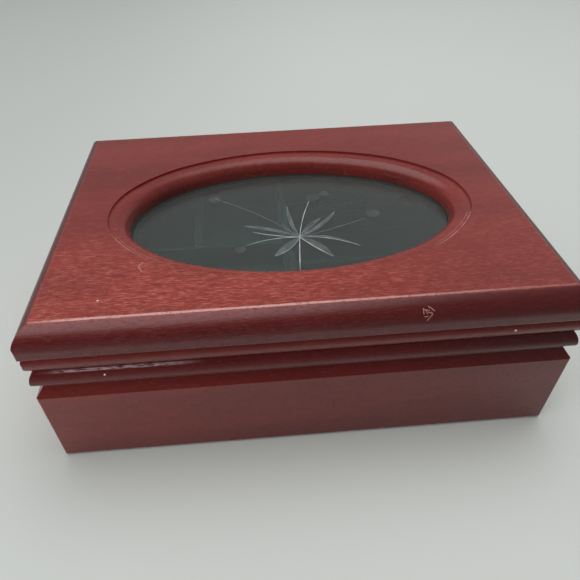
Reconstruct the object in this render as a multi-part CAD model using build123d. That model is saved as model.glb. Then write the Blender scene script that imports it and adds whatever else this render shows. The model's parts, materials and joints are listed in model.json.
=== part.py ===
"""Wooden jewelry box with a hinged lid, an oval glass window, a sliding tray and ring rolls.

Millimetres. The origin is the middle of the underside, +X to the right, +Y to the back where the
hinges are, +Z up. The box is closed and the tray stands at the left end of its rails.
"""
from build123d import *
from math import atan2, cos, degrees, hypot, radians, sin
import os

os.makedirs("parts", exist_ok=True)

# The box in plan
box_width = 254.0
box_depth = 187.0
corner_radius = 2.4
corner_ease = 0.3
board_thickness = 12.0

# Base boards, from the foot up; an inset is measured in from the box's outer face
foot_radius = 2.4
face_height = 48.3
chamfer_rise = 4.7
neck_inset = 3.8
neck_height = 2.8
base_bead_height = 9.0
base_bead_inset = 0.5
base_bead_radius = 2.6
base_lip_inset = 3.1

# Lid rail, the beaded frame under the slab
parting_gap = 0.5
rail_height = 9.0
rail_width = 13.0
rail_belly_height = 5.3
rail_bead_inset = 0.4
rail_lip_inset = 3.0
rail_crown_inset = 1.8

# Lid slab and its oval window
slab_square_edge = 4.7
slab_under_radius = 1.4
arris_angle = 73.0
oval_half_length = 98.0
oval_half_width = 61.6
oval_end_fullness = 1.077
oval_side_fullness = 0.945
oval_offset = 6.2
oval_step = 1.1
oval_land = 3.2
oval_round_radius = 6.8
oval_lip_edge = 3.0
glass_thickness = 3.0
glass_seat = 5.0
glass_play = 0.4
gasket_thickness = 1.8

# Velvet-covered boards
lid_lining_thickness = 2.0
lid_lining_lap = 1.5
lining_thickness = 1.5
floor_lining_thickness = 1.0
lining_top_drop = 1.5
lining_play = 0.1
velvet_edge = 0.45
ridge_round = 1.8

# Floor
floor_height = 3.0
floor_thickness = 4.0
floor_groove_depth = 4.0
floor_play = 0.2
felt_thickness = 1.0

# Low dividers and ring rolls in the base
divider_thickness = 4.0
divider_height = 20.0
cross_divider_y = 18.6
ring_roll_count = 6
ring_roll_height = 18.0
ring_roll_gap = 0.5

# Tray and the rails that it slides along
rail_strip_width = 5.0
rail_strip_height = 5.0
rail_strip_lift = 21.0
tray_width = 115.0
tray_height = 24.0
tray_wall = 4.0
tray_lift_play = 0.1
tray_side_play = 0.4
tray_end_play = 0.3
tray_floor_thickness = 2.0
tray_floor_rise = 1.5
tray_groove_depth = 1.5
tray_edge_round = 1.0
tray_liner_thickness = 1.0
tray_liner_drop = 2.0
tray_liner_play = 0.1
tray_divider_thickness = 3.0
tray_divider_height = 16.0
tray_ridge_round = 1.35
tray_cross_y = 6.0
finger_notch_radius = 9.0

# Butt hinges
hinge_from_end = 50.0
hinge_length = 38.0
hinge_inset = 2.3
knuckle_count = 3
knuckle_radius = 1.9
knuckle_gap = 0.15
hinge_pin_radius = 0.8
hinge_pin_play = 0.05
leaf_thickness = 1.0
leaf_reach = 9.2
leaf_gap = 0.1
mortise_play = 0.15

# Hinge screws
screw_reach = 6.2
screw_spacing = 24.0
screw_shank_radius = 1.2
screw_head_radius = 2.0
screw_length = 8.0

# Felt bumpers between lid and base
bumper_side = 6.0
bumper_inset = 8.0

# Limits that keep the cuts and rounds sound when a size is changed
cut_spare = 1.0
widest_round = 0.45
tiny = 0.01

# Heights and places that follow from the sizes above
chamfer_top = face_height + chamfer_rise
bead_bottom = chamfer_top + neck_height
base_top = bead_bottom + base_bead_height
rail_bottom = base_top + parting_gap
slab_bottom = rail_bottom + rail_height
slab_thickness = (
    oval_step + oval_round_radius + oval_lip_edge + glass_thickness + gasket_thickness
)
box_top = slab_bottom + slab_thickness
half_width = box_width / 2
half_depth = box_depth / 2

cavity_half_width = half_width - board_thickness
cavity_half_depth = half_depth - board_thickness
floor_top = floor_height + floor_thickness
lining_bottom = floor_top + floor_lining_thickness
lining_top = base_top - lining_top_drop
clear_half_width = cavity_half_width - lining_thickness
clear_half_depth = cavity_half_depth - lining_thickness

glass_top = slab_bottom + gasket_thickness + glass_thickness
window_centre_y = -oval_offset
opening_inset = oval_land + oval_round_radius

rail_strip_top = lining_bottom + rail_strip_lift + rail_strip_height
tray_bottom = rail_strip_top + tray_lift_play
tray_top = tray_bottom + tray_height
tray_left = -clear_half_width + tray_end_play
tray_half_depth = clear_half_depth - tray_side_play
tray_travel = 2 * clear_half_width - tray_width - 2 * tray_end_play

hinge_y = half_depth - hinge_inset
hinge_z = (base_top + rail_bottom) / 2


def save(node, shape):
    """Write one piece, or one group of like pieces, under its name."""
    export_step(shape, f"parts/{node}.step")


def block(low, high):
    """Rectangular solid between two opposite corners."""
    size = [b - a for a, b in zip(low, high)]
    middle = [(a + b) / 2 for a, b in zip(low, high)]
    return Pos(*middle) * Box(*size)


def oval_centres():
    """Centre and radius of the oval's right end arc, upper right shoulder arc and upper side arc."""
    end_radius = oval_end_fullness * oval_half_width**2 / oval_half_length
    side_radius = oval_side_fullness * oval_half_length**2 / oval_half_width
    shoulder_radius = (oval_half_length + oval_half_width) / 2
    end_x = oval_half_length - end_radius
    side_y = oval_half_width - side_radius
    # The shoulder touches both neighbours from inside, which fixes its distance from their centres
    to_end = shoulder_radius - end_radius
    to_side = side_radius - shoulder_radius
    span = hypot(end_x, side_y)
    along = (to_end**2 - to_side**2 + span**2) / (2 * span)
    across = (to_end**2 - along**2) ** 0.5
    shoulder_x = end_x - (along * end_x - across * side_y) / span
    shoulder_y = (along * side_y + across * end_x) / span
    return (end_x, 0, end_radius), (shoulder_x, shoulder_y, shoulder_radius), (0, side_y, side_radius)


def oval(inset, low, high):
    """Upright prism on the window's centre: eight tangent arcs, drawn in from the oval's outer line."""
    end, shoulder, side = oval_centres()
    end_angle = degrees(atan2(end[1] - shoulder[1], end[0] - shoulder[0]))
    side_angle = degrees(atan2(shoulder[1] - side[1], shoulder[0] - side[0]))
    spans = [
        (end, 1, 1, -end_angle, end_angle),
        (shoulder, 1, 1, end_angle, side_angle),
        (side, 1, 1, side_angle, 180 - side_angle),
        (shoulder, -1, 1, 180 - side_angle, 180 - end_angle),
        (end, -1, 1, 180 - end_angle, 180 + end_angle),
        (shoulder, -1, -1, 180 + end_angle, 180 + side_angle),
        (side, 1, -1, 180 + side_angle, 360 - side_angle),
        (shoulder, 1, -1, 360 - side_angle, 360 - end_angle),
    ]
    arcs = [
        CenterArc((x * sign_x, y * sign_y), radius - inset, start, stop - start)
        for (x, y, radius), sign_x, sign_y, start, stop in spans
    ]
    return extrude(Pos(0, window_centre_y, low) * make_face(arcs), high - low)


def rod_along_x(radius, start, end, y, z):
    """Round bar from one X to another."""
    bar = Cylinder(radius, end - start, align=(Align.CENTER, Align.CENTER, Align.MIN))
    return Pos(start, y, z) * Rot(0, 90, 0) * bar


# Outlines. Each gives the right-hand edge of a section whose half size is given, in (across, height).


def base_outline(half):
    """Foot round, flat face, chamfer, neck and bead of the base boards."""
    bead = half - base_bead_inset
    neck = half - neck_inset
    belly = bead_bottom + base_bead_radius
    foot_middle = foot_radius * (1 - cos(radians(45)))
    under_middle = base_bead_radius * (1 - cos(radians(45)))
    return [
        Line((0, 0), (half - foot_radius, 0)),
        ThreePointArc((half - foot_radius, 0), (half - foot_middle, foot_middle), (half, foot_radius)),
        Line((half, foot_radius), (half, face_height)),
        Line((half, face_height), (neck, chamfer_top)),
        Line((neck, chamfer_top), (neck, bead_bottom)),
        Line((neck, bead_bottom), (bead - base_bead_radius, bead_bottom)),
        ThreePointArc(
            (bead - base_bead_radius, bead_bottom),
            (bead - under_middle, bead_bottom + under_middle),
            (bead, belly),
        ),
        TangentArc((bead, belly), (half - base_lip_inset, base_top), tangent=(0, 1)),
        Line((half - base_lip_inset, base_top), (0, base_top)),
    ]


def rail_outline(half):
    """Bead of the lid rail, fullest a little above its middle."""
    bead = half - rail_bead_inset
    belly = rail_bottom + rail_belly_height
    return [
        Line((0, rail_bottom), (half - rail_lip_inset, rail_bottom)),
        TangentArc((bead, belly), (half - rail_lip_inset, rail_bottom), tangent=(0, -1)),
        TangentArc((bead, belly), (half - rail_crown_inset, slab_bottom), tangent=(0, 1)),
        Line((half - rail_crown_inset, slab_bottom), (0, slab_bottom)),
    ]


def slab_outline(half):
    """Square edge with a small round under it and a wide round-over that ends in an arris."""
    round_radius = (slab_thickness - slab_square_edge) / sin(radians(arris_angle))
    under = min(slab_under_radius, 2 * widest_round * slab_square_edge)
    under_middle = under * (1 - cos(radians(45)))
    square_top = slab_bottom + slab_square_edge
    centre = half - round_radius
    mid_angle = radians(arris_angle / 2)
    arris = centre + round_radius * cos(radians(arris_angle))
    return [
        Line((0, slab_bottom), (half - under, slab_bottom)),
        ThreePointArc(
            (half - under, slab_bottom),
            (half - under_middle, slab_bottom + under_middle),
            (half, slab_bottom + under),
        ),
        Line((half, slab_bottom + under), (half, square_top)),
        ThreePointArc(
            (half, square_top),
            (centre + round_radius * cos(mid_angle), square_top + round_radius * sin(mid_angle)),
            (arris, box_top),
        ),
        Line((arris, box_top), (0, box_top)),
    ]


def section_face(outline, half):
    """Whole section of a body: the outline and its mirror image."""
    right = outline(half)
    left = [mirror(edge, about=Plane.YZ) for edge in right]
    return make_face(Curve() + right + left)


def moulded_body(outline, inset):
    """Solid with one outline on all four sides; its corners are mitred and trimmed round in plan.

    The trim's flanks stand a little outside the faces, so that it takes off the corners alone.
    """
    along_x = extrude(Plane.YZ * section_face(outline, half_depth), half_width + cut_spare, both=True)
    along_y = extrude(Plane.XZ * section_face(outline, half_width), half_depth + cut_spare, both=True)
    reach = 2 * (corner_ease - inset)
    plan = RectangleRounded(box_width + reach, box_depth + reach, corner_radius)
    trim = Pos(0, 0, -cut_spare) * extrude(plan, box_top + 2 * cut_spare)
    return along_x & along_y & trim


def mitre_wedge(side, outer_x, outer_y, thickness, low, high):
    """Prism over one board of a mitred frame; side is front, back, left or right."""
    out_x, out_y = outer_x + cut_spare, outer_y + cut_spare
    in_x, in_y = outer_x - thickness - cut_spare, outer_y - thickness - cut_spare
    sign = -1 if side in ("front", "left") else 1
    if side in ("front", "back"):
        out_y, in_y = sign * out_y, sign * in_y
        corners = [(-out_x, out_y), (out_x, out_y), (in_x, in_y), (-in_x, in_y)]
    else:
        out_x, in_x = sign * out_x, sign * in_x
        corners = [(out_x, -out_y), (out_x, out_y), (in_x, in_y), (in_x, -in_y)]
    plan = make_face(Polyline(*corners, close=True))
    return extrude(Pos(0, 0, low) * plan, high - low)


def hinge_places():
    """X of the two hinges, with the side that each is on."""
    place = half_width - hinge_from_end
    return {"left": -place, "right": place}


def screw_places(hinge_x):
    """Plan points of the screws in one leaf."""
    return [(hinge_x + offset, hinge_y - screw_reach) for offset in (-screw_spacing / 2, screw_spacing / 2)]


def hinge_screw(x, y, face_z, direction):
    """Countersunk screw with its head flush at face_z; direction is -1 down and 1 up."""
    section = Polyline(
        (0, 0),
        (screw_head_radius, 0),
        (screw_shank_radius, -leaf_thickness),
        (screw_shank_radius, -screw_length),
        (0, -screw_length),
        close=True,
    )
    screw = revolve(Plane.XZ * make_face(section), Axis.Z)
    if direction > 0:
        screw = Rot(180, 0, 0) * screw
    return Pos(x, y, face_z) * screw


def leaf_faces():
    """Levels of the leaves' meeting faces: the base leaf's top and the lid leaf's underside."""
    return hinge_z - leaf_gap / 2, hinge_z + leaf_gap / 2


def hinge_mortise(hinge_x, upper):
    """Recess for one leaf and the barrel, in the base board or in the lid rail."""
    low_face, high_face = leaf_faces()
    half = hinge_length / 2 + mortise_play
    if upper:
        low, high = rail_bottom - parting_gap, high_face + leaf_thickness
    else:
        low, high = low_face - leaf_thickness, base_top + parting_gap
    flat = block((hinge_x - half, hinge_y - leaf_reach - mortise_play, low), (hinge_x + half, hinge_y, high))
    barrel = rod_along_x(knuckle_radius + mortise_play, hinge_x - half, hinge_x + half, hinge_y, hinge_z)
    return flat + barrel


def hinge_leaf(hinge_x, upper):
    """One leaf with its share of the knuckles, bored for the pin and countersunk for two screws."""
    low_face, high_face = leaf_faces()
    low = high_face if upper else low_face - leaf_thickness
    start = hinge_x - hinge_length / 2
    plate = block((start, hinge_y - leaf_reach, low), (start + hinge_length, hinge_y, low + leaf_thickness))
    step = hinge_length / knuckle_count
    for index in range(knuckle_count):
        left, right = start + index * step, start + (index + 1) * step
        if (index % 2 == 1) == upper:
            left += knuckle_gap / 2 if index else 0
            right -= knuckle_gap / 2 if index < knuckle_count - 1 else 0
            plate += rod_along_x(knuckle_radius, left, right, hinge_y, hinge_z)
        else:
            left -= knuckle_gap / 2
            right += knuckle_gap / 2
            cut_y = hinge_y - knuckle_radius - mortise_play
            plate -= block((left, cut_y, low), (right, hinge_y, low + leaf_thickness))
    bore = hinge_pin_radius + (hinge_pin_play if upper else 0)
    plate -= rod_along_x(bore, start - cut_spare, start + hinge_length + cut_spare, hinge_y, hinge_z)
    face = high_face if upper else low_face
    for x, y in screw_places(hinge_x):
        plate -= hinge_screw(x, y, face, 1 if upper else -1)
    return plate


def hinge_pin(hinge_x):
    """Plain pin, flush with the ends of the barrel."""
    half = hinge_length / 2
    return rod_along_x(hinge_pin_radius, hinge_x - half, hinge_x + half, hinge_y, hinge_z)


def all_screws(upper):
    """Screws of both hinges in one leaf's side."""
    low_face, high_face = leaf_faces()
    face = high_face if upper else low_face
    return [
        hinge_screw(x, y, face, 1 if upper else -1)
        for hinge_x in hinge_places().values()
        for x, y in screw_places(hinge_x)
    ]


def make_base_boards():
    """Four mitred boards with the floor groove and the hinge mortises."""
    body = moulded_body(base_outline, 0)
    low, high = -cut_spare, base_top + cut_spare
    cavity = block(
        (-cavity_half_width, -cavity_half_depth, low),
        (cavity_half_width, cavity_half_depth, high),
    )
    groove = block(
        (-cavity_half_width - floor_groove_depth, -cavity_half_depth - floor_groove_depth, floor_height),
        (cavity_half_width + floor_groove_depth, cavity_half_depth + floor_groove_depth, floor_top),
    )
    body = body - cavity - groove
    for side in ("front", "back", "left", "right"):
        board = body & mitre_wedge(side, half_width, half_depth, board_thickness, low, high)
        if side == "back":
            for hinge_x in hinge_places().values():
                board -= hinge_mortise(hinge_x, upper=False)
            for screw in all_screws(upper=False):
                board -= screw
        save(f"base_{side}_board", board)


def make_floor():
    """Floor panel in its groove, the felt under it and the velvet board on it."""
    reach = floor_groove_depth - floor_play
    panel = block(
        (-cavity_half_width - reach, -cavity_half_depth - reach, floor_height),
        (cavity_half_width + reach, cavity_half_depth + reach, floor_top),
    )
    save("base_floor", panel)
    felt = block(
        (-cavity_half_width + lining_play, -cavity_half_depth + lining_play, floor_height - felt_thickness),
        (cavity_half_width - lining_play, cavity_half_depth - lining_play, floor_height),
    )
    save("base_felt", felt)
    lining = block(
        (-cavity_half_width + lining_play, -cavity_half_depth + lining_play, floor_top),
        (cavity_half_width - lining_play, cavity_half_depth - lining_play, lining_bottom),
    )
    save("floor_lining", lining)


def make_wall_linings():
    """Four velvet-covered boards that stand on the floor lining against the base boards."""
    for side, sign in (("front", -1), ("back", 1)):
        near, far = sorted((sign * clear_half_depth, sign * cavity_half_depth))
        board = block((-cavity_half_width, near, lining_bottom), (cavity_half_width, far, lining_top))
        top_edges = board.edges().filter_by(Axis.X).group_by(Axis.Z)[-1]
        save(f"{side}_lining", fillet(top_edges, velvet_edge))
    end = clear_half_depth - lining_play
    for side, sign in (("left", -1), ("right", 1)):
        near, far = sorted((sign * clear_half_width, sign * cavity_half_width))
        board = block((near, -end, lining_bottom), (far, end, lining_top))
        top_edges = board.edges().filter_by(Axis.Y).group_by(Axis.Z)[-1]
        save(f"{side}_lining", fillet(top_edges, velvet_edge))


def make_tray_rails():
    """Strips on the front and back linings that carry the tray."""
    end = clear_half_width - lining_play
    low = rail_strip_top - rail_strip_height
    for side, sign in (("front", -1), ("back", 1)):
        near, far = sorted((sign * (clear_half_depth - rail_strip_width), sign * clear_half_depth))
        save(f"{side}_tray_rail", block((-end, near, low), (end, far, rail_strip_top)))


def make_base_dividers():
    """Low velvet dividers: one from front to back, one across the right half."""
    half = divider_thickness / 2
    top = lining_bottom + divider_height
    end = clear_half_depth - lining_play
    long_divider = block((-half, -end, lining_bottom), (half, end, top))
    ridge = long_divider.edges().filter_by(Axis.Y).group_by(Axis.Z)[-1]
    save("long_divider", fillet(ridge, min(ridge_round, widest_round * divider_thickness)))
    cross = block(
        (half, cross_divider_y - half, lining_bottom),
        (clear_half_width - lining_play, cross_divider_y + half, top),
    )
    ridge = cross.edges().filter_by(Axis.X).group_by(Axis.Z)[-1]
    save("cross_divider", fillet(ridge, min(ridge_round, widest_round * divider_thickness)))


def make_ring_rolls():
    """Padded rolls side by side, each with a straight lower part and a half-round crown."""
    start = divider_thickness / 2 + ring_roll_gap
    end = clear_half_width - ring_roll_gap
    front = -clear_half_depth
    room = cross_divider_y - divider_thickness / 2 - front
    width = (room - (ring_roll_count + 1) * ring_roll_gap) / ring_roll_count
    shoulder = lining_bottom + ring_roll_height - width / 2
    for index in range(ring_roll_count):
        low_y = front + ring_roll_gap + index * (width + ring_roll_gap)
        lower = block((start, low_y, lining_bottom), (end, low_y + width, shoulder))
        upper = rod_along_x(width / 2, start, end, low_y + width / 2, shoulder)
        save(f"ring_roll_{index + 1}", lower + upper)


def make_lid_panel():
    """Slab with its round-over, the stepped and rounded oval opening and the glass rebate."""
    slab = moulded_body(slab_outline, 0)
    step_floor = box_top - oval_step
    slab -= oval(0, step_floor, box_top + cut_spare)
    slab -= oval(opening_inset, slab_bottom - cut_spare, step_floor + cut_spare)
    rim = []
    for face in slab.faces().filter_by(GeomType.CYLINDER):
        reach = face.bounding_box()
        if abs(reach.min.Z - slab_bottom) < tiny and abs(reach.max.Z - step_floor) < tiny:
            rim.append(face.edges().sort_by(Axis.Z)[-1])
    slab = fillet(rim, oval_round_radius)
    slab -= oval(opening_inset - glass_seat, slab_bottom - cut_spare, glass_top)
    for screw in all_screws(upper=True):
        slab -= screw
    save("lid_panel", slab)


def make_lid_rails():
    """Four mitred rails under the slab, the back one with the hinge mortises."""
    body = moulded_body(rail_outline, rail_bead_inset)
    inner_x, inner_y = half_width - rail_width, half_depth - rail_width
    low, high = rail_bottom - cut_spare, slab_bottom + cut_spare
    body -= block((-inner_x, -inner_y, low), (inner_x, inner_y, high))
    for side in ("front", "back", "left", "right"):
        rail = body & mitre_wedge(side, half_width, half_depth, rail_width, low, high)
        if side == "back":
            for hinge_x in hinge_places().values():
                rail -= hinge_mortise(hinge_x, upper=True)
            for screw in all_screws(upper=True):
                rail -= screw
        save(f"lid_{side}_rail", rail)


def make_window():
    """Oval pane, the gasket under it and the velvet board that holds both up."""
    pane_inset = opening_inset - glass_seat + glass_play
    glass_bottom = glass_top - glass_thickness
    save("glass_pane", oval(pane_inset, glass_bottom, glass_top))
    gasket = oval(pane_inset, slab_bottom, glass_bottom)
    gasket -= oval(opening_inset, slab_bottom - cut_spare, glass_bottom + cut_spare)
    save("glass_gasket", gasket)
    inner_x = half_width - rail_width - lining_play
    inner_y = half_depth - rail_width - lining_play
    low = slab_bottom - lid_lining_thickness
    board = block((-inner_x, -inner_y, low), (inner_x, inner_y, slab_bottom))
    board -= oval(opening_inset + lid_lining_lap, low - cut_spare, slab_bottom + cut_spare)
    save("lid_lining", board)


def make_hinges():
    """Leaves, pins and screws of both hinges."""
    for side, hinge_x in hinge_places().items():
        save(f"{side}_hinge_base_leaf", hinge_leaf(hinge_x, upper=False))
        save(f"{side}_hinge_lid_leaf", hinge_leaf(hinge_x, upper=True))
        save(f"{side}_hinge_pin", hinge_pin(hinge_x))
    save("base_hinge_screws", Compound(children=all_screws(upper=False)))
    save("lid_hinge_screws", Compound(children=all_screws(upper=True)))


def make_bumpers():
    """Thin square felt pads under the lid rail at the front corners."""
    y = -half_depth + bumper_inset
    pads = []
    for x in (-half_width + bumper_inset, half_width - bumper_inset):
        reach = bumper_side / 2
        pads.append(block((x - reach, y - reach, base_top), (x + reach, y + reach, rail_bottom)))
    save("lid_bumpers", Compound(children=pads))


def tray_block(inset, low, high):
    """Rectangular solid over the tray's plan, drawn in by an inset."""
    return block(
        (tray_left + inset, -tray_half_depth + inset, low),
        (tray_left + tray_width - inset, tray_half_depth - inset, high),
    )


def finger_notch():
    """Half-round bar through both end walls at the top, in the middle of the depth."""
    start, end = tray_left - cut_spare, tray_left + tray_width + cut_spare
    return rod_along_x(finger_notch_radius, start, end, 0, tray_top)


def make_tray_walls():
    """Four mitred walls with a groove for the floor; the end walls have finger notches."""
    tray_middle = tray_left + tray_width / 2
    floor_low = tray_bottom + tray_floor_rise
    low, high = tray_bottom - cut_spare, tray_top + cut_spare
    body = tray_block(0, tray_bottom, tray_top) - tray_block(tray_wall, low, high)
    body -= tray_block(tray_wall - tray_groove_depth, floor_low, floor_low + tray_floor_thickness)
    body = fillet(body.edges().group_by(Axis.Z)[-1], tray_edge_round)
    body -= finger_notch()
    for side in ("front", "back", "left", "right"):
        wedge = mitre_wedge(side, tray_width / 2, tray_half_depth, tray_wall, low, high)
        save(f"tray_{side}_wall", body & Pos(tray_middle, 0, 0) * wedge)


def make_tray_inside():
    """Floor, velvet liner and two velvet dividers of the tray."""
    floor_low = tray_bottom + tray_floor_rise
    floor_high = floor_low + tray_floor_thickness
    save("tray_floor", tray_block(tray_wall - tray_groove_depth + tray_liner_play, floor_low, floor_high))
    liner_inset = tray_wall + tray_liner_play
    inner_inset = liner_inset + tray_liner_thickness
    liner_floor = floor_high + tray_liner_thickness
    liner = tray_block(liner_inset, floor_high, tray_top - tray_liner_drop)
    liner -= tray_block(inner_inset, liner_floor, tray_top)
    liner -= finger_notch()
    save("tray_liner", liner)
    half = tray_divider_thickness / 2
    top = liner_floor + tray_divider_height
    left, right = tray_left + inner_inset, tray_left + tray_width - inner_inset
    cross = block((left, tray_cross_y - half, liner_floor), (right, tray_cross_y + half, top))
    ridge = cross.edges().filter_by(Axis.X).group_by(Axis.Z)[-1]
    ridge_size = min(tray_ridge_round, widest_round * tray_divider_thickness)
    save("tray_cross_divider", fillet(ridge, ridge_size))
    middle = (left + right) / 2
    back = tray_half_depth - inner_inset
    long_divider = block((middle - half, tray_cross_y + half, liner_floor), (middle + half, back, top))
    ridge = long_divider.edges().filter_by(Axis.Y).group_by(Axis.Z)[-1]
    save("tray_long_divider", fillet(ridge, ridge_size))


make_base_boards()
make_floor()
make_wall_linings()
make_tray_rails()
make_base_dividers()
make_ring_rolls()
make_lid_panel()
make_lid_rails()
make_window()
make_hinges()
make_bumpers()
make_tray_walls()
make_tray_inside()
print(f"box {box_width:.1f} x {box_depth:.1f} x {box_top:.1f} mm, tray travel {tray_travel:.1f} mm")
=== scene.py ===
"""Looks of the jewelry box: materials, cut-glass star, ring-roll pads, small wear, light and camera.

Metres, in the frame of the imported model: origin in the middle of the underside, +X to the right,
+Y to the hinges, +Z up.
"""
import json
from math import cos, hypot, pi, radians, sin
import random

import bpy
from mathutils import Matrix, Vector


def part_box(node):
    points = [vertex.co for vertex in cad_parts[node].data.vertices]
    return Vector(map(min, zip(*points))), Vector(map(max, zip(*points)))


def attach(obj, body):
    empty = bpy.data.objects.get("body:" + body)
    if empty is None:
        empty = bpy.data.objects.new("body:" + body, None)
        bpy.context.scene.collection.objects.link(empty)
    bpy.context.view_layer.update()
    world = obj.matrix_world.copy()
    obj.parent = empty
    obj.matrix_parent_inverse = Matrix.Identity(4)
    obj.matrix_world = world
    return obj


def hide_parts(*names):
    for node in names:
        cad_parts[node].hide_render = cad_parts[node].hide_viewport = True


MM = 0.001
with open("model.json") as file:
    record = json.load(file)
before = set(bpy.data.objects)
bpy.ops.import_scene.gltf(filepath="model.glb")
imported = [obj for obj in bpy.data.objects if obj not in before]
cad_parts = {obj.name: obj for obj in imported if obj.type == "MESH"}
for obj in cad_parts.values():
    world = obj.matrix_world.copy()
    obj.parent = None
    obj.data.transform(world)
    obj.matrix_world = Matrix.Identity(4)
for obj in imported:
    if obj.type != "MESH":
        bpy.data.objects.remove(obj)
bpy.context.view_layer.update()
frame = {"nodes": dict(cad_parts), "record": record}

# Places of the CAD model that the materials and the added pieces follow
HALF_WIDTH, HALF_DEPTH, BOX_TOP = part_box("lid_panel")[1]
GLASS_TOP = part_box("glass_pane")[1].z
BEAD_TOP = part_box("base_front_board")[1].z
ARRIS_INSET = 8.14 * MM
FACE_TOP = 48.3 * MM
NECK_BOTTOM = 53.0 * MM

# The oval's lower shoulders: centre (mirrored in X) and radius of the arc that its outer edge follows
SHOULDER_CENTRE = (26.36 * MM, 17.36 * MM, 0.0)
SHOULDER_RADIUS = 79.8 * MM

# Facets of a CAD round meet at up to 15 degrees, and its real edges at 24 or more
SMOOTH_BELOW = radians(18)
WELD_WITHIN = 0.005 * MM

# Colours of the stained and lacquered wood, and of the painted shade on its right side and on the base's
# moulding
STAIN_DARK = (0.176, 0.020, 0.017)
STAIN_LIGHT = (0.236, 0.030, 0.024)
PANEL_FRONT_COLOUR = (0.345, 0.043, 0.029)
GOLD_FIBRE = (0.52, 0.140, 0.105)
FURROW = (0.085, 0.009, 0.008)
PORE = (0.030, 0.005, 0.006)
RIGHT_SHADE = (0.060, 0.0070, 0.0085)
MOULDING_SHADE = (0.080, 0.0080, 0.0092)
MOULDING_END_SHADE = (0.040, 0.0070, 0.0085)
SLAB_EDGE_DARKER = (0.068, 0.0068, 0.0082)

# Colours of the wear, and of painted sheen and highlights
PAINTED_SHEEN = (0.36, 0.066, 0.068)
BEAD_WEAR_AND_HIGHLIGHT = (0.50, 0.39, 0.41)
ARRIS_WEAR_AND_HIGHLIGHT = (0.76, 0.43, 0.40)
OPEN_PORE = (0.05, 0.010, 0.011)
WEAR_AND_HIGHLIGHT = (0.55, 0.28, 0.25)
CHIP = (0.80, 0.66, 0.60)

# Wear that the photograph shows, as places in millimetres: tiny bright chips with their radius, and fine
# scratches from one place to another
PANEL_CHIPS = (((-91.8, -74.6, 90.0), 0.55),)
RAIL_CHIPS = (((93.0, -93.0, 71.1), 0.75),)
BOARD_CHIPS = (((-92.6, -92.6, 61.3), 0.6),)
PANEL_SCRATCHES = (
    # Nick in the flat top left of the window
    ((-74.9, -49.7, 90.0), (-76.8, -52.2, 90.0)),
    ((-76.8, -52.2, 90.0), (-74.7, -56.5, 90.0)),
    # Bruise on the front round
    ((51.0, -90.0, 87.3), (51.7, -90.4, 86.9)),
    ((48.8, -90.8, 86.4), (51.4, -91.2, 86.0)),
    ((52.0, -90.4, 86.8), (53.7, -91.4, 85.6)),
    ((52.2, -91.7, 85.2), (52.8, -92.0, 84.7)),
    ((52.8, -92.2, 84.4), (50.6, -93.1, 81.9)),
    ((49.3, -92.6, 83.6), (50.8, -92.5, 83.7)),
    ((48.8, -90.5, 86.8), (49.0, -92.0, 84.7)),
    ((49.9, -91.0, 86.2), (50.5, -92.0, 84.8)),
    ((51.0, -91.6, 85.4), (52.0, -91.9, 84.9)),
)
SCRATCH_WIDTH = 0.36
SCRATCH_STRENGTH = 0.8


# Node trees


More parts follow.
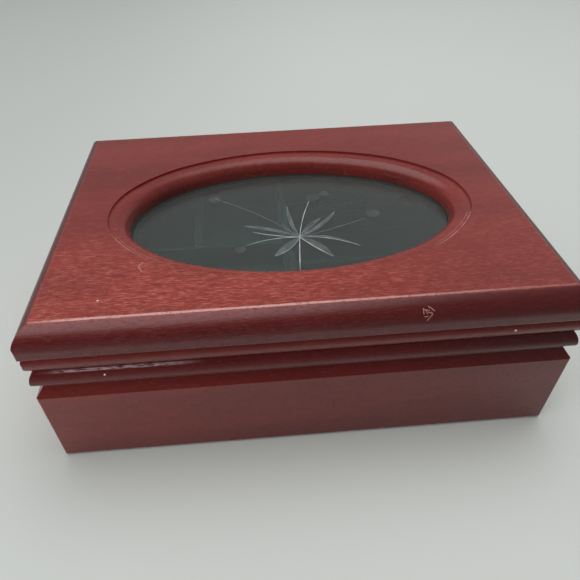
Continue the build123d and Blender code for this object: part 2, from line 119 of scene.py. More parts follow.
class Tree:
    """Short names for the nodes of one material or world."""

    def __init__(self, owner):
        owner.use_nodes = True
        self.tree = owner.node_tree
        self.tree.nodes.clear()

    def add(self, kind, inputs=None, **settings):
        """A node with its settings; inputs maps socket names or numbers to values or other sockets."""
        node = self.tree.nodes.new(kind)
        for key, value in settings.items():
            setattr(node, key, value)
        for key, value in (inputs or {}).items():
            self.put(node, key, value)
        return node

    def put(self, node, key, value):
        socket = node.inputs[key]
        if isinstance(value, bpy.types.NodeSocket):
            self.tree.links.new(value, socket)
        elif isinstance(value, (tuple, list)) and socket.type == "RGBA" and len(value) == 3:
            socket.default_value = (*value, 1.0)
        else:
            socket.default_value = value

    def math(self, operation, *values, clamp=False):
        inputs = dict(enumerate(values))
        return self.add("ShaderNodeMath", inputs, operation=operation, use_clamp=clamp).outputs[0]

    def times(self, first, *others):
        """Product of two or more values."""
        for other in others:
            first = self.math("MULTIPLY", first, other)
        return first

    def linear(self, value, slope, start):
        """Slope times a value, plus a start; each may be a number or a socket."""
        return self.math("MULTIPLY_ADD", value, slope, start)

    def size(self, value):
        """A value without its sign."""
        return self.math("ABSOLUTE", value)

    def ramp(self, value, low, high, to_low=0.0, to_high=1.0):
        """Smooth step of a value between two limits."""
        inputs = {"Value": value, 1: low, 2: high, 3: to_low, 4: to_high}
        return self.add("ShaderNodeMapRange", inputs, interpolation_type="SMOOTHSTEP").outputs[0]

    def mix(self, share, a, b, blend="MIX"):
        """Colour a, with a share of colour b laid over it."""
        node = self.add("ShaderNodeMix", {0: share, 6: a, 7: b}, data_type="RGBA", blend_type=blend)
        return node.outputs[2]

    def coords(self):
        return self.add("ShaderNodeTexCoord").outputs["Object"]

    def split(self, vector):
        node = self.add("ShaderNodeSeparateXYZ", {0: vector})
        return node.outputs[0], node.outputs[1], node.outputs[2]

    def noise(self, vector, scale, detail=2.0, shift=(0, 0, 0), rough=0.5):
        """Noise of a vector that is first stretched by three scales."""
        mapped = self.add("ShaderNodeMapping", {"Vector": vector, "Scale": scale, "Location": shift})
        inputs = {"Vector": mapped.outputs[0], "Scale": 1.0, "Detail": detail, "Roughness": rough}
        return self.add("ShaderNodeTexNoise", inputs).outputs["Fac"]

    def vector(self, operation, a, b):
        made = self.add("ShaderNodeVectorMath", {0: a, 1: b}, operation=operation)
        return made.outputs["Value" if operation in ("DOT_PRODUCT", "DISTANCE") else "Vector"]

    def ball(self, point, place, radius):
        """One at a place, fading to nothing at a radius; both in millimetres."""
        gap = self.vector("DISTANCE", point, tuple(MM * c for c in place))
        return self.ramp(gap, radius * MM, 0.5 * radius * MM)

    def scratch(self, point, start, end, width):
        """One along a fine line between two places in millimetres."""
        start, end = MM * Vector(start), MM * Vector(end)
        run = end - start
        from_start = self.vector("SUBTRACT", point, tuple(start))
        along = self.vector("DOT_PRODUCT", from_start, tuple(run))
        share = self.math("DIVIDE", along, run.length_squared, clamp=True)
        nearest = self.add("ShaderNodeCombineXYZ", {
            axis: self.linear(share, run[axis], start[axis]) for axis in range(3)
        }).outputs[0]
        gap = self.vector("DISTANCE", point, nearest)
        return self.ramp(gap, 0.8 * width * MM, 0.25 * width * MM)

    def bump(self, height, distance, strength=1.0, below=None):
        inputs = {"Height": height, "Distance": distance, "Strength": strength}
        if below is not None:
            inputs["Normal"] = below
        return self.add("ShaderNodeBump", inputs).outputs[0]

    def surface(self, **inputs):
        """Principled shader straight to the output; underscores in the names stand for spaces."""
        named = {key.replace("_", " "): value for key, value in inputs.items()}
        shader = self.add("ShaderNodeBsdfPrincipled", named)
        out = self.add("ShaderNodeOutputMaterial")
        self.tree.links.new(shader.outputs[0], out.inputs[0])


def material(name):
    made = bpy.data.materials.new(name)
    return made, Tree(made)


def scaled(colour, factor):
    """A colour made lighter or darker."""
    return tuple(factor * channel for channel in colour)


# Wood


ALONG_X, ALONG_Y = 0, 1


def wood(name, grain, tone=1.0, shift=0.0, panel=False, board=False, chips=()):
    """Red lacquered wood with fine short pores; grain is the axis that it runs along.

    Tone scales the stain and shift moves the figure. The lid's panel, whose grain runs along X, has golden
    flecks towards its front, a darker moulded edge, wear, and painted sheen and highlights on its edges.
    Other wood has painted shade towards the right. A board of the base has painted shade on its moulding and
    towards its foot, and a painted highlight with wear on its bead.
    """
    made, t = material(name)
    here = t.coords()

    def texture(along, across, detail, place, rough=0.5):
        """Noise with one scale along the grain and another one across it."""
        scale = tuple(along if axis == grain else across for axis in range(3))
        return t.noise(here, scale, detail, (shift, *place), rough)

    bands = texture(along=3, across=45, detail=3.0, place=(1.3, 0.6))
    fibres = texture(along=230, across=1350, detail=2.0, place=(0.7, 0.2), rough=0.7)
    dashes = texture(along=330, across=2000, detail=1.5, place=(0.1, 0.9))
    mottle = t.noise(here, (28, 42, 42), 2.0, (shift, 2.1, 1.4))

    colour = t.mix(t.ramp(bands, 0.25, 0.75), scaled(STAIN_DARK, tone), scaled(STAIN_LIGHT, tone))
    figure, relief, pore_level = 0.08, 0.15, 0.63
    if panel:
        front = figured_front(t, here)
        # Lighter, more orange colour towards the front and left of the panel
        colour = t.mix(t.times(front, 0.75), colour, scaled(PANEL_FRONT_COLOUR, tone))
        figure = t.linear(front, 0.62, 0.10)
        relief = t.linear(front, 0.85, 0.15)
        pore_level = t.linear(front, -0.05, 0.63)
    gold = t.times(t.ramp(fibres, 0.52, 0.64), figure)
    colour = t.mix(gold, colour, scaled(GOLD_FIBRE, tone))
    furrows = t.times(t.ramp(fibres, 0.46, 0.30), figure)
    colour = t.mix(furrows, colour, scaled(FURROW, tone))
    pores = t.ramp(t.math("SUBTRACT", dashes, pore_level), 0.0, 0.06)
    colour = t.mix(t.times(pores, 0.35), colour, PORE)
    shade = t.ramp(mottle, 0.25, 0.75, 0.93, 1.05)
    grey = t.add("ShaderNodeCombineColor", {0: shade, 1: shade, 2: shade}).outputs[0]
    colour = t.mix(1.0, colour, grey, "MULTIPLY")
    rough = t.linear(mottle, 0.10, 0.22)
    rough = t.math("ADD", rough, t.times(pores, 0.2))

    if panel:
        colour, rough = panel_wear_and_painted_light(t, here, colour, rough)
    else:
        x = t.split(here)[0]
        # Painted shade: wood other than the panel is darker towards the right
        colour = t.mix(t.ramp(x, -20 * MM, 120 * MM, 0.0, 0.20), colour, RIGHT_SHADE)
    if board:
        colour = board_shade_and_highlight(t, here, shift, colour)
    for place, radius in chips:
        colour = t.mix(t.ball(here, place, radius), colour, CHIP)

    grain_bump = t.bump(t.times(fibres, relief), 0.16 * MM)
    pore_bump = t.bump(t.math("SUBTRACT", 1.0, pores), 0.12 * MM, 0.5, grain_bump)
    coat = 0.5 if panel else 0.25
    t.surface(
        Base_Color=colour, Roughness=rough, Normal=pore_bump, IOR=1.5,
        Coat_Weight=coat, Coat_Roughness=0.14,
    )
    return made


def figured_front(t, here):
    """Share of the panel's strong figure and lighter front colour: in clusters, most at the front and less
    towards the right.
    """
    x, y, _ = t.split(here)
    clusters = t.noise(here, (22, 60, 60), 2.0, (0.0, 3.7, 0.8))
    clustered = t.ramp(clusters, 0.25, 0.6, 0.45, 1.0)
    return t.times(t.ramp(y, 10 * MM, -75 * MM), clustered, t.ramp(x, 80 * MM, -10 * MM, 0.28, 1.0))


def board_shade_and_highlight(t, here, shift, colour):
    """Painted shade on a base board's moulding and towards its foot, and a painted highlight with some wear
    along its bead.
    """
    x, y, z = t.split(here)
    # Painted shade: the moulding is darker from the chamfer up, most from the neck up, where it lies under
    # the overhang
    chamfer = t.ramp(z, FACE_TOP - 0.2 * MM, FACE_TOP + 0.2 * MM, 0.0, 0.32)
    above_neck = t.ramp(z, NECK_BOTTOM - 0.4 * MM, NECK_BOTTOM + 0.4 * MM, 0.0, 0.68)
    moulding_shade = t.math("MAXIMUM", chamfer, above_neck)
    # Painted shade: darker towards the foot, near the floor
    low = t.ramp(z, 34 * MM, 3 * MM, 0.0, 0.27)
    colour = t.mix(t.math("MAXIMUM", moulding_shade, low), colour, MOULDING_SHADE)
    # Painted shade: the moulding is darker still at its right end
    right_end_shade = t.times(t.ramp(x, 30 * MM, 125 * MM, 0.0, 0.8), moulding_shade)
    colour = t.mix(right_end_shade, colour, MOULDING_END_SHADE)
    # Painted highlight, with some rubbing wear, along the bead's upper front edge on its left part
    below = t.math("SUBTRACT", BEAD_TOP, z)
    strip = t.times(
        t.ramp(below, 1.7 * MM, 1.0 * MM), t.ramp(below, 0.1 * MM, 0.6 * MM), t.ramp(y, -85 * MM, -90 * MM),
    )
    broken = t.ramp(t.noise(here, (260, 1500, 1500), 2.0, (shift, 0.9, 0.3)), 0.30, 0.62)
    reach = t.times(t.ramp(x, -123 * MM, -105 * MM), t.ramp(x, -45 * MM, -70 * MM))
    return t.mix(t.times(strip, broken, reach, 0.85), colour, BEAD_WEAR_AND_HIGHLIGHT)


def panel_wear_and_painted_light(t, here, colour, rough):
    """Darker moulded edge, wear, painted sheen and painted highlights of the lid's slab; gives its colour
    and roughness.
    """
    x, y, _ = t.split(here)
    beyond_x = t.math("SUBTRACT", t.size(x), HALF_WIDTH - ARRIS_INSET)
    beyond_y = t.math("SUBTRACT", t.size(y), HALF_DEPTH - ARRIS_INSET)
    beyond = t.math("MAXIMUM", beyond_x, beyond_y)
    on_front = t.times(
        t.ramp(t.math("SUBTRACT", beyond_y, beyond_x), -0.2 * MM, 0.2 * MM), t.ramp(y, 0.0, -10 * MM),
    )
    wobble = t.noise(here, (170, 170, 170), 2.0)

    # The moulded edge is darker than the flat top
    edge = t.ramp(beyond, -0.2 * MM, 2.0 * MM)
    colour = t.mix(t.times(edge, 0.85), colour, SLAB_EDGE_DARKER)
    # Painted sheen: a lighter haze on the upper part of the front round, most on the left, in place of
    # reflected overhead light
    sheen_mask = t.times(t.ramp(beyond, 7.5 * MM, 0.5 * MM), t.ramp(x, 60 * MM, -40 * MM), edge, on_front)
    colour = t.mix(t.times(sheen_mask, 0.38), colour, PAINTED_SHEEN)
    colour, rough = arris_wear_and_highlight(t, here, beyond, on_front, wobble, colour, rough)
    colour = shoulder_highlights(t, here, wobble, colour)
    for start, end in PANEL_SCRATCHES:
        stroke = t.scratch(here, start, end, SCRATCH_WIDTH)
        colour = t.mix(t.times(stroke, SCRATCH_STRENGTH), colour, WEAR_AND_HIGHLIGHT)
    return colour, rough


def arris_wear_and_highlight(t, here, beyond, on_front, wobble, colour, rough):
    """Painted highlight along the slab's crisp top edge, with lacquer rubbed thin there, most in front and
    on the left.
    """
    x, _, z = t.split(here)
    specks = t.noise(here, (700, 1500, 1500), 1.5, (0.0, 0.5, 0.4))
    half_width = t.linear(wobble, 0.4 * MM, 0.35 * MM)
    line = t.ramp(t.math("SUBTRACT", t.size(beyond), half_width), 0.2 * MM, -0.2 * MM)
    high = t.ramp(z, BOX_TOP - 1.5 * MM, BOX_TOP - 0.6 * MM)
    whole = t.ramp(specks, 0.66, 0.54, 0.55, 1.0)
    # Greatest in front and on the left, where the painted highlight is strongest
    front_left_share = t.times(
        t.linear(on_front, 0.68, 0.04),
        t.ramp(x, 110 * MM, -20 * MM, 0.30, 1.0),
        t.ramp(x, -119 * MM, -100 * MM, 0.35, 1.0),
    )
    colour = t.mix(t.times(line, high, whole, front_left_share), colour, ARRIS_WEAR_AND_HIGHLIGHT)
    # Pores that took no lacquer show as dark specks beside it
    beside = t.times(t.ramp(beyond, -0.2 * MM, 0.8 * MM), t.ramp(beyond, 5.0 * MM, 1.8 * MM))
    open_pores = t.times(beside, t.ramp(specks, 0.56, 0.64), 0.45)
    colour = t.mix(open_pores, colour, OPEN_PORE)
    return colour, t.linear(beside, 0.12, rough)


def shoulder_highlights(t, here, wobble, colour):
    """Painted highlight: a double light line where the oval's lower shoulders meet the flat top."""
    x, y, _ = t.split(here)
    mirrored = t.add("ShaderNodeCombineXYZ", {0: t.size(x), 1: y, 2: 0.0}).outputs[0]
    across = t.math("SUBTRACT", t.vector("DISTANCE", mirrored, SHOULDER_CENTRE), SHOULDER_RADIUS)
    outer = t.ramp(t.size(t.math("ADD", across, 0.9 * MM)), 0.4 * MM, 0.1 * MM)
    inner = t.ramp(t.size(t.math("ADD", across, 2.4 * MM)), 0.3 * MM, 0.1 * MM)
    reach = t.times(t.ramp(t.size(x), 62 * MM, 74 * MM), t.ramp(y, -18 * MM, -28 * MM))
    highlight_share = t.times(t.linear(inner, 0.6, outer), reach, t.ramp(wobble, 0.35, 0.6, 0.25, 1.0), 0.7)
    return t.mix(highlight_share, colour, WEAR_AND_HIGHLIGHT)


# Other materials


def velvet(name, base, bloom):
    """Short pile with a brighter rim, brushed in soft patches."""
    made, t = material(name)
    here = t.coords()
    patches = t.noise(here, (35, 50, 50), 3.0)
    hairs = t.noise(here, (1800, 1800, 1800), 2.0, rough=0.6)
    colour = t.mix(t.ramp(patches, 0.3, 0.7), base, scaled(base, 1.3))
    colour = t.mix(t.times(t.ramp(hairs, 0.35, 0.65), 0.12), colour, scaled(base, 0.4))
    pile = t.linear(patches, 0.6, hairs)
    t.surface(
        Base_Color=colour, Roughness=0.95, Normal=t.bump(pile, 0.3 * MM, 0.15),
        Sheen_Weight=0.2, Sheen_Roughness=0.35, Sheen_Tint=(*bloom, 1.0), Specular_IOR_Level=0.1,
    )
    return made


def plain_felt():
    made, t = material("dark_felt")
    fuzz = t.noise(t.coords(), (900, 900, 900), 3.0)
    colour = t.mix(fuzz, (0.018, 0.018, 0.018), (0.05, 0.048, 0.046))
    bump = t.bump(fuzz, 0.3 * MM, 0.7)
    t.surface(Base_Color=colour, Roughness=0.97, Normal=bump, Specular_IOR_Level=0.1)
    return made


def plywood():
    made, t = material("floor_wood")
    grain = t.noise(t.coords(), (9, 210, 210), 4.0, rough=0.6)
    colour = t.mix(grain, (0.33, 0.20, 0.11), (0.53, 0.38, 0.24))
    t.surface(Base_Color=colour, Roughness=0.7, Normal=t.bump(grain, 0.2 * MM, 0.4))
    return made


def gasket_rubber():
    made, t = material("black_gasket")
    grain = t.noise(t.coords(), (700, 700, 700), 2.0)
    colour = t.mix(grain, (0.011, 0.011, 0.012), (0.024, 0.024, 0.026))
    t.surface(Base_Color=colour, Roughness=0.75, Normal=t.bump(grain, 0.1 * MM, 0.5))
    return made


def brass():
    made, t = material("brass")
    here = t.coords()
    rubbed = t.noise(here, (300, 40, 300), 3.0)
    dull = t.noise(here, (60, 60, 60), 2.0)
    colour = t.mix(dull, (0.52, 0.34, 0.12), (0.78, 0.57, 0.25))
    rough = t.linear(dull, 0.25, 0.16)
    t.surface(Base_Color=colour, Metallic=1.0, Roughness=rough, Normal=t.bump(rubbed, 0.03 * MM, 0.4))
    return made


def clear_glass():
    """Greenish pane with a little dust on it."""
    made, t = material("clear_glass")
    dust = t.noise(t.coords(), (30, 30, 30), 3.0)
    rough = t.ramp(dust, 0.35, 0.8, 0.0, 0.05)
    t.surface(Base_Color=(0.80, 0.88, 0.86), Roughness=rough, Transmission_Weight=0.965, IOR=1.5)
    return made


def cut_glass(name, colour, alpha):
    """Ground surface of a wheel cut."""
    made, t = material(name)
    here = t.coords()
    grit = t.noise(here, (2600, 2600, 2600), 2.0)
    patches = t.noise(here, (160, 160, 160), 2.0)
    base = t.mix(t.ramp(patches, 0.3, 0.7), scaled(colour, 0.72), scaled(colour, 1.2))
    t.surface(Base_Color=base, Roughness=0.42, Normal=t.bump(grit, 0.05 * MM, 0.5), Alpha=alpha, IOR=1.5)
    return made


materials = {
    "wood_panel": wood("lacquered_wood_panel", ALONG_X, panel=True, chips=PANEL_CHIPS),
    "wood_rail_x": wood("lacquered_wood_rail_x", ALONG_X, tone=0.78, shift=3.1, chips=RAIL_CHIPS),
    "wood_rail_y": wood("lacquered_wood_rail_y", ALONG_Y, tone=0.78, shift=5.7),
    "wood_base_x": wood(
        "lacquered_wood_base_x", ALONG_X, tone=0.80, shift=8.3, board=True, chips=BOARD_CHIPS,
    ),
    "wood_base_y": wood("lacquered_wood_base_y", ALONG_Y, tone=0.80, shift=11.9, board=True),
    "wood_inner": wood("lacquered_wood_inner", ALONG_X, tone=0.50, shift=13.7),
    "green_velvet": velvet("green_velvet", base=(0.021, 0.056, 0.054), bloom=(0.45, 0.75, 0.70)),
    "ring_roll_velvet": velvet("ring_roll_velvet", base=(0.020, 0.051, 0.047), bloom=(0.5, 0.8, 0.72)),
    "dark_felt": plain_felt(),
    "floor_wood": plywood(),
    "black_gasket": gasket_rubber(),
    "brass": brass(),
    "clear_glass": clear_glass(),
    "star_bright": cut_glass("star_bright", colour=(0.62, 0.68, 0.67), alpha=0.9),
    "star_faint": cut_glass("star_faint", colour=(0.38, 0.42, 0.43), alpha=0.55),
    "star_ground": cut_glass("star_ground", colour=(0.30, 0.32, 0.34), alpha=0.20),
    "star_dots": cut_glass("star_dots", colour=(0.29, 0.33, 0.33), alpha=0.16),
}

WOOD_BY_NODE = {
    "lid_panel": "wood_panel",
    "lid_front_rail": "wood_rail_x",
    "lid_back_rail": "wood_rail_x",
    "lid_left_rail": "wood_rail_y",
    "lid_right_rail": "wood_rail_y",
    "base_front_board": "wood_base_x",
    "base_back_board": "wood_base_x",
    "base_left_board": "wood_base_y",
    "base_right_board": "wood_base_y",
    "front_tray_rail": "wood_inner",
    "back_tray_rail": "wood_inner",
}


def smooth_group():
    """Geometry nodes that shade the rounds smooth and keep the real edges sharp."""
    group = bpy.data.node_groups.new("smooth_rounds", "GeometryNodeTree")
    group.interface.new_socket("Geometry", in_out="INPUT", socket_type="NodeSocketGeometry")
    group.interface.new_socket("Geometry", in_out="OUTPUT", socket_type="NodeSocketGeometry")
    start = group.nodes.new("NodeGroupInput")
    end = group.nodes.new("NodeGroupOutput")
    faces = group.nodes.new("GeometryNodeSetShadeSmooth")
    faces.domain = "FACE"
    edges = group.nodes.new("GeometryNodeSetShadeSmooth")
    edges.domain = "EDGE"
    angle = group.nodes.new("GeometryNodeInputMeshEdgeAngle")
    below = group.nodes.new("FunctionNodeCompare")
    below.data_type = "FLOAT"
    below.operation = "LESS_EQUAL"
    below.inputs[1].default_value = SMOOTH_BELOW
    links = group.links
    links.new(start.outputs[0], faces.inputs[0])
    links.new(faces.outputs[0], edges.inputs[0])
    links.new(angle.outputs[0], below.inputs[0])
    links.new(below.outputs[0], edges.inputs["Shade Smooth"])
    links.new(edges.outputs[0], end.inputs[0])
    return group


def dress_nodes():
    """Material and smooth shading of every CAD node."""
    slot_of = {part["node"]: part["material_slot"] for part in frame["record"]["subparts"]}
    rounds = smooth_group()
    for name, obj in frame["nodes"].items():
        key = WOOD_BY_NODE.get(name, slot_of[name])
        obj.data.materials.clear()
        obj.data.materials.append(materials[key])
        weld = obj.modifiers.new("weld", "WELD")
        weld.merge_threshold = WELD_WITHIN
        smooth = obj.modifiers.new("smooth", "NODES")
        smooth.node_group = rounds
        weighted = obj.modifiers.new("weighted", "WEIGHTED_NORMAL")
        weighted.keep_sharp = True
        weighted.weight = 100


# Added pieces


def new_piece(name, vertices, faces, material_name, slot, body, smooth=True):
    """Mesh object that rides on a body."""
    mesh = bpy.data.meshes.new(name)
    mesh.from_pydata([tuple(v) for v in vertices], [], faces)
    mesh.materials.append(materials[material_name])
    if smooth:
        mesh.polygons.foreach_set("use_smooth", [True] * len(mesh.polygons))
    mesh.validate()
    mesh.update()
    obj = bpy.data.objects.new(name, mesh)
    bpy.context.scene.collection.objects.link(obj)
    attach(obj, body)
    return obj


def merge(parts):
    """Joins (vertices, faces) pairs into one."""
    vertices, faces = [], []
    for points, polygons in parts:
        base = len(vertices)
        vertices += points
        faces += [tuple(base + i for i in polygon) for polygon in polygons]
    return vertices, faces


# The cut star: its centre on the pane, and how high its parts stand on the glass
STAR_X, STAR_Y = 3.3 * MM, -22.5 * MM
GLASS_CLEAR = 0.01 * MM
CUT_BASE = GLASS_TOP + GLASS_CLEAR
STROKE_LIFT = 0.07 * MM
FILL_LIFT = 0.03 * MM
# Section of a cut from edge to edge, as shares of its half width and of its height
RIDGE = ((-1, 0), (-0.5, 0.8), (0, 1), (0.5, 0.8), (1, 0))
# Rings of a dot's dome from its top, as shares of its radius and of its height
DOME_RINGS = ((0.45, 0.8), (0.8, 0.4), (1.0, 0.0))
# A cut's width follows a half sine from this share of it to its end, raised to this power
WIDTH_START = 0.12
WIDTH_POWER = 0.8

# The star in plan millimetres from its centre. A petal is its tip and the middles of its two edges.
PETALS = (
    ((-29.4, 13.3), (-15.6, 9.6), (-14.8, 7.0)),
    ((-14.6, -15.2), (-8.8, -5.6), (-6.0, -9.5)),
    ((15.2, -18.4), (10.6, -6.4), (7.5, -10.0)),
    ((30.9, -11.0), (14.6, -0.2), (15.2, -3.2)),
    ((22.6, 22.5), (12.7, 12.5), (14.1, 9.3)),
    ((13.6, 16.5), (6.4, 10.7), (7.9, 8.7)),
    ((-3.9, 30.8), (-4.6, 15.4), (-1.8, 12.6)),
)
# A cut is its end, its middle, its greatest width, its width at the tip, and whether it is a bright one
CUTS = (
    ((-24.9, 7.4), (-13.8, 3.1), 0.50, 0.12, True),
    ((-28.5, -4.6), (-15.4, -0.4), 0.46, 0.10, True),
    ((-14.6, -15.2), (-6.0, -9.5), 0.34, 0.10, True),
    ((-3.0, -28.5), (-1.6, -14.2), 0.62, 0.15, True),
    ((15.2, -18.4), (7.5, -10.0), 0.58, 0.12, True),
    ((30.9, -11.0), (15.4, -2.6), 0.32, 0.08, True),
    ((22.6, 22.5), (12.5, 10.2), 0.30, 0.08, False),
    ((13.6, 16.5), (6.6, 11.6), 0.26, 0.08, False),
    ((-3.9, 30.8), (-2.2, 12.8), 0.32, 0.08, False),
    ((-29.4, 13.3), (-15.8, 10.2), 0.24, 0.08, False),
    ((9.5, 34.7), (4.0, 18.3), 0.42, 0.26, True),
    ((37.7, 13.8), (19.6, 6.3), 0.34, 0.20, False),
    ((-45.3, 43.4), (-20.6, 23.6), 0.36, 0.24, False),
    ((-8.4, 13.8), (-5.0, 7.6), 0.24, 0.10, False),
)
OUTLINE_WIDTH = 0.22
PETAL_SLIMNESS = 0.72
# Ground dots: place and radius
DOTS = (
    (11.8, 38.3, 4.2), (19.8, 41.9, 3.0), (43.8, 17.9, 4.0), (-45.3, 43.4, 4.2), (-31.9, -7.3, 3.5),
)


def on_glass(x, y):
    """Plan point of the glass for a point of the star in millimetres."""
    return STAR_X + x * MM, STAR_Y + y * MM


def curve(middle, end, steps=20):
    """Points from the star's centre through a middle point to an end, as one bend."""
    pull_x, pull_y = 2 * middle[0] - end[0] / 2, 2 * middle[1] - end[1] / 2
    out = []
    for index in range(steps + 1):
        s = index / steps
        out.append(on_glass(
            2 * s * (1 - s) * pull_x + s * s * end[0],
            2 * s * (1 - s) * pull_y + s * s * end[1],
        ))
    return out


def ribbon(points, widths):
    """Low ridge along a line of plan points, with a crest, closed at both ends."""
    vertices, faces = [], []
    count = len(points)
    for index, (x, y) in enumerate(points):
        before = points[max(index - 1, 0)]
        after = points[min(index + 1, count - 1)]
        dx, dy = after[0] - before[0], after[1] - before[1]
        size = hypot(dx, dy)
        nx, ny = -dy / size, dx / size
        half = widths[index] / 2
        for side, height in RIDGE:
            up = CUT_BASE + STROKE_LIFT * height
            vertices.append((x + side * nx * half, y + side * ny * half, up))
    across = len(RIDGE)
    for index in range(count - 1):
        a, b = across * index, across * (index + 1)
        for k in range(across - 1):
            faces.append((a + k, b + k, b + k + 1, a + k + 1))
        faces.append((a, a + across - 1, b + across - 1, b))
    faces.append(tuple(range(across)))
    last = across * (count - 1)
    faces.append(tuple(reversed(range(last, last + across))))
    return vertices, faces


def field(left, right):
    """Thin ground plate between two edges that share both ends."""
    outline = left + right[-2:0:-1]
    count = len(outline)
    vertices = [(x, y, CUT_BASE) for x, y in outline]
    vertices += [(x, y, CUT_BASE + FILL_LIFT) for x, y in outline]
    faces = [tuple(reversed(range(count))), tuple(range(count, 2 * count))]
    faces += [(k, (k + 1) % count, count + (k + 1) % count, count + k) for k in range(count)]
    return vertices, faces


def dot(x, y, radius, segments=24):
    """Low ground dome."""
    x, y = on_glass(x, y)
    vertices, faces = [(x, y, CUT_BASE + STROKE_LIFT)], []
    for ring, (share, height) in enumerate(DOME_RINGS):
        for k in range(segments):
            a = 2 * pi * k / segments
            reach = share * radius * MM
            vertices.append((x + cos(a) * reach, y + sin(a) * reach, CUT_BASE + height * STROKE_LIFT))
        for k in range(segments):
            j = (k + 1) % segments
            if ring == 0:
                faces.append((0, 1 + k, 1 + j))
            else:
                inner, outer = 1 + (ring - 1) * segments, 1 + ring * segments
                faces.append((inner + k, outer + k, outer + j, inner + j))
    faces.append(tuple(1 + 2 * segments + k for k in reversed(range(segments))))
    return vertices, faces


def cut_widths(width, tip_width, count):
    """Widths along a cut: full near its middle, and narrow at its tip."""
    widths = []
    for index in range(count - 1):
        place = WIDTH_START + (1 - WIDTH_START) * index / (count - 1)
        fullness = sin(pi * place) ** WIDTH_POWER
        widths.append(MM * (tip_width + (width - tip_width) * fullness))
    return widths + [MM * tip_width]


def slimmed(sides):
    """A petal's two side points, drawn in towards the middle between them."""
    middle = [sum(pair) / 2 for pair in zip(*sides)]
    return [[m + PETAL_SLIMNESS * (c - m) for c, m in zip(side, middle)] for side in sides]


def make_star():
    """Wheel-cut star on the pane: bright and faint cuts, ground petals and ground dots."""
    cuts = {True: [], False: []}
    for end, middle, width, tip_width, bright in CUTS:
        line = curve(middle, end)
        cuts[bright].append(ribbon(line, cut_widths(width, tip_width, len(line))))
    ground = []
    for tip, *sides in PETALS:
        edges = [curve(side, tip) for side in slimmed(sides)]
        ground.append(field(*edges))
        for edge in edges:
            cuts[False].append(ribbon(edge, [MM * OUTLINE_WIDTH] * len(edge)))
    dots = [dot(*place) for place in DOTS]
    new_piece("star_bright_cuts", *merge(cuts[True]), "star_bright", "clear_glass", "lid")
    new_piece("star_faint_cuts", *merge(cuts[False]), "star_faint", "clear_glass", "lid")
    new_piece("star_ground_fields", *merge(ground), "star_ground", "clear_glass", "lid", smooth=False)
    new_piece("star_ground_dots", *merge(dots), "star_dots", "clear_glass", "lid")


# Ring rolls: their number, how far a pad stays inside its CAD roll, and its points around and along
ROLL_COUNT = 6
PAD_SEED = 40
PAD_END_GAP = 0.2 * MM
PAD_SIDE_GAP = 0.45 * MM
PAD_AROUND = 36
PAD_STATIONS = 44
# The section: how high its widest place is, and the powers of its superellipse, across and up, below
# that place and above it
BELLY_SHARE = 0.42
UNDER_POWERS = (0.62, 0.35)
CROWN_POWERS = (0.9, 0.95)
# Waves that make the crown uneven: how many, the ranges of their size in millimetres, rate and phase,
# how they slant across it, and how much they sink it
WAVE_COUNT = 4
WAVE_SIZES = (0.15, 0.4)
WAVE_RATES = (50, 140)
WAVE_PHASES = (0, 6.3)
WAVE_SLANT = 0.01
WAVE_SHARE = 0.6
# The section shrinks by this share over this length before an end
PULL_SHARE = 0.34
PULL_LENGTH = 4.2 * MM
PULL_POWER = 2.2
# Rings of a dimple: their share of the section, and how deep they lie in millimetres
DIMPLE_RINGS = ((0.72, 0.25), (0.4, 0.15), (0.12, 0.9))
DIMPLE_HEIGHT_SHARE = 0.46
# Pleats round a dimple: how many, how strong, and at which share of the section they are strongest
PLEATS = 7
PLEAT_SHARE = 0.09
STRONGEST_PLEAT = 0.55


def signed_power(value, power):
    """Power of a value that keeps its sign."""
    return abs(value) ** power * (1 if value >= 0 else -1)


def pad_rings(low, high, waves):
    """Points of a pad's rings: flat under, with straight flanks and a slightly uneven round crown."""
    length = high.x - low.x
    middle_y = (low.y + high.y) / 2
    half_width = (high.y - low.y) / 2 - PAD_SIDE_GAP
    belly = (high.z - low.z) * BELLY_SHARE
    crown = (high.z - low.z) - belly
    points = []
    for station in range(PAD_STATIONS + 1):
        share = station / PAD_STATIONS
        x = low.x + PAD_END_GAP + share * (length - 2 * PAD_END_GAP)
        end = min(share, 1 - share) * length
        pull = 1 - PULL_SHARE * max(0.0, 1 - end / PULL_LENGTH) ** PULL_POWER
        for k in range(PAD_AROUND):
            angle = 2 * pi * k / PAD_AROUND
            power_across, power_up = UNDER_POWERS if sin(angle) < 0 else CROWN_POWERS
            across = signed_power(cos(angle), power_across)
            up = signed_power(sin(angle), power_up)
            z = low.z + belly
            if up > 0:
                place = x + WAVE_SLANT * across
                wave = sum(size * sin(rate * place + phase) for size, rate, phase in waves)
                z += up * crown * pull + min(WAVE_SHARE * wave * up, 0.0)
            else:
                z += up * belly
            points.append((x, middle_y + across * half_width * pull, z))
    return points


def pad_sides():
    """Faces between the rings."""
    faces = []
    for station in range(PAD_STATIONS):
        a, b = station * PAD_AROUND, (station + 1) * PAD_AROUND
        for k in range(PAD_AROUND):
            j = (k + 1) % PAD_AROUND
            faces.append((a + k, a + j, b + j, b + k))
    return faces


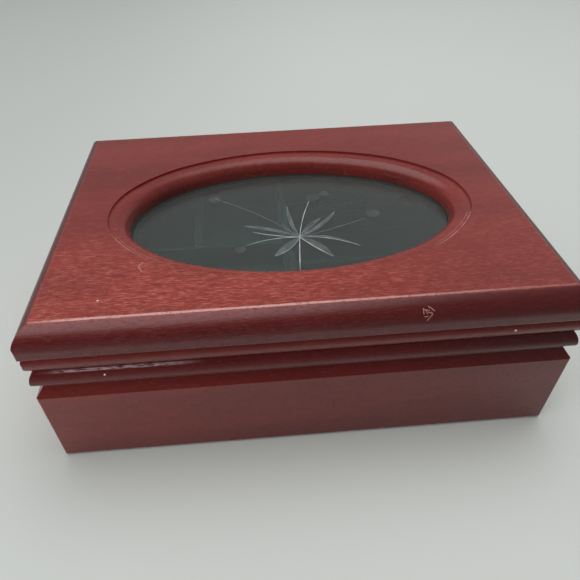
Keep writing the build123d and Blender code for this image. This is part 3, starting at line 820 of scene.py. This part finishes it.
def pleated_dimple(points, low, high, number, last):
    """Closes one end of a pad with a low pleated dimple; adds its points and gives its faces."""
    base = PAD_STATIONS * PAD_AROUND if last else 0
    inward = -MM if last else MM
    x_end = points[base][0]
    middle_y = (low.y + high.y) / 2
    middle_z = low.z + (high.z - low.z) * DIMPLE_HEIGHT_SHARE
    faces = []
    previous = [base + k for k in range(PAD_AROUND)]
    for share, depth in DIMPLE_RINGS:
        current = []
        for k in range(PAD_AROUND):
            _, y, z = points[base + k]
            wave = sin(PLEATS * 2 * pi * k / PAD_AROUND + number)
            reach = share * (1 + PLEAT_SHARE * wave * (1 - abs(share - STRONGEST_PLEAT)))
            current.append(len(points))
            points.append((
                x_end + inward * depth, middle_y + (y - middle_y) * reach, middle_z + (z - middle_z) * reach,
            ))
        for k in range(PAD_AROUND):
            j = (k + 1) % PAD_AROUND
            quad = (previous[k], current[k], current[j], previous[j])
            faces.append(tuple(reversed(quad)) if last else quad)
        previous = current
    faces.append(tuple(previous) if last else tuple(reversed(previous)))
    return faces


def make_ring_pad(number):
    """Velvet-covered foam roll in place of a CAD roll, crowned, with its cloth tucked in at the ends."""
    rng = random.Random(PAD_SEED + number)
    waves = []
    for _ in range(WAVE_COUNT):
        size = rng.uniform(*WAVE_SIZES) * MM
        rate = rng.uniform(*WAVE_RATES)
        phase = rng.uniform(*WAVE_PHASES)
        waves.append((size, rate, phase))
    low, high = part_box(f"ring_roll_{number}")
    points = pad_rings(low, high, waves)
    faces = pad_sides()
    faces += pleated_dimple(points, low, high, number, last=False)
    faces += pleated_dimple(points, low, high, number, last=True)
    pad = new_piece(f"ring_pad_{number}", points, faces, "ring_roll_velvet", "ring_roll_velvet", "base")
    soften = pad.modifiers.new("soften", "SUBSURF")
    soften.levels = soften.render_levels = 1
    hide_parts(f"ring_roll_{number}")


# Floor, light and camera

FLOOR_DARK = (0.61, 0.63, 0.605)
FLOOR_LIGHT = (0.64, 0.66, 0.635)
FLOOR_LEFT_SHADE = (0.54, 0.56, 0.54)
FLOOR_MIRRORED = (0.03, 0.03, 0.03)
FLOOR_REACH = 6.0
WORLD_COLOUR = (0.985, 1.0, 0.99)
BACKDROP_LEVEL = 0.58
LAMP_TARGET = Vector((0.0, 0.0, 0.05))

# The camera, fitted to the photograph: focal length in its pixels, place in metres, and angles in degrees
PHOTO_WIDTH = 580
FOCAL_PIXELS = 513.468
SENSOR_WIDTH = 36.0
CAMERA_SHIFT = (0.02890, -0.00078)
CAMERA_CLIP = (0.01, 50.0)
CAMERA_PLACE = (-0.024171, -0.244793, 0.241177)
CAMERA_ANGLES = (48.2936, 1.3609, -4.4059)


def make_floor():
    """Pale floor with painted shade towards the left; in front of the box and beside it, its reflections are
    dark, as in a dim room.
    """
    made, t = material("studio_floor")
    here = t.coords()
    x, y, _ = t.split(here)
    colour = t.mix(t.noise(here, (3, 3, 3), 2.0), FLOOR_DARK, FLOOR_LIGHT)
    # Painted shade: the floor is darker towards the left
    colour = t.mix(t.ramp(x, 0.20, -0.30), colour, FLOOR_LEFT_SHADE)
    in_front = t.ramp(y, -0.12, -0.27, 0.12, 1.0)
    beside = t.ramp(t.size(x), 0.14, 0.30, 0.0, 0.6)
    mirrored = t.add("ShaderNodeLightPath").outputs["Is Glossy Ray"]
    shaded = t.times(t.math("MAXIMUM", in_front, beside), mirrored, 0.85)
    colour = t.mix(shaded, colour, FLOOR_MIRRORED)
    t.surface(Base_Color=colour, Roughness=0.8, Specular_IOR_Level=0.3)
    mesh = bpy.data.meshes.new("studio_floor")
    corners = [(sx * FLOOR_REACH, sy * FLOOR_REACH, 0) for sx, sy in ((-1, -1), (1, -1), (1, 1), (-1, 1))]
    mesh.from_pydata(corners, [], [(0, 1, 2, 3)])
    mesh.materials.append(made)
    floor = bpy.data.objects.new("studio_floor", mesh)
    bpy.context.scene.collection.objects.link(floor)


def make_world():
    """Dim in front, brighter behind and on the right, bright overhead; the camera sees a plain backdrop."""
    world = bpy.data.worlds.new("room")
    bpy.context.scene.world = world
    t = Tree(world)
    x, y, z = t.split(t.add("ShaderNodeTexCoord").outputs["Generated"])
    around = t.linear(t.ramp(y, -0.15, 0.6), 0.22, 0.03)
    around = t.linear(t.ramp(x, 0.1, 0.7), 0.10, around)
    # The bright patch overhead leans to the left
    leaning = t.linear(x, -0.30, t.linear(y, -0.08, t.times(z, 0.95)))
    overhead = t.ramp(leaning, 0.67, 0.95)
    level = t.linear(around, t.math("SUBTRACT", 1.0, overhead), t.times(overhead, 1.35))
    seen = t.add("ShaderNodeLightPath").outputs["Is Camera Ray"]
    level = t.linear(level, t.math("SUBTRACT", 1.0, seen), t.times(seen, BACKDROP_LEVEL))
    shader = t.add("ShaderNodeBackground", {"Color": WORLD_COLOUR, "Strength": level})
    out = t.add("ShaderNodeOutputWorld")
    t.tree.links.new(shader.outputs[0], out.inputs[0])


def make_lamp(name, place, size, power):
    """Area lamp that points at the box and isn't seen in reflections."""
    lamp = bpy.data.lights.new(name, "AREA")
    lamp.shape = "RECTANGLE"
    lamp.size, lamp.size_y = size
    lamp.energy = power
    obj = bpy.data.objects.new(name, lamp)
    bpy.context.scene.collection.objects.link(obj)
    obj.visible_glossy = False
    obj.location = place
    obj.rotation_euler = (LAMP_TARGET - Vector(place)).to_track_quat("-Z", "Y").to_euler()


def make_camera():
    data = bpy.data.cameras.new("camera")
    data.sensor_width = SENSOR_WIDTH
    data.lens = FOCAL_PIXELS / PHOTO_WIDTH * SENSOR_WIDTH
    data.shift_x, data.shift_y = CAMERA_SHIFT
    data.clip_start, data.clip_end = CAMERA_CLIP
    camera = bpy.data.objects.new("camera", data)
    bpy.context.scene.collection.objects.link(camera)
    camera.location = CAMERA_PLACE
    camera.rotation_euler = [radians(angle) for angle in CAMERA_ANGLES]
    bpy.context.scene.camera = camera


dress_nodes()
make_star()
for roll in range(1, ROLL_COUNT + 1):
    make_ring_pad(roll)
make_floor()
make_world()
make_lamp("overhead_softbox", place=(0.24, 0.30, 1.35), size=(1.2, 1.0), power=9.0)
make_lamp("left_fill", place=(-0.50, -0.36, 0.15), size=(0.35, 0.25), power=1.5)
make_camera()
bpy.context.scene.view_settings.view_transform = "Standard"

bpy.context.view_layer.update()
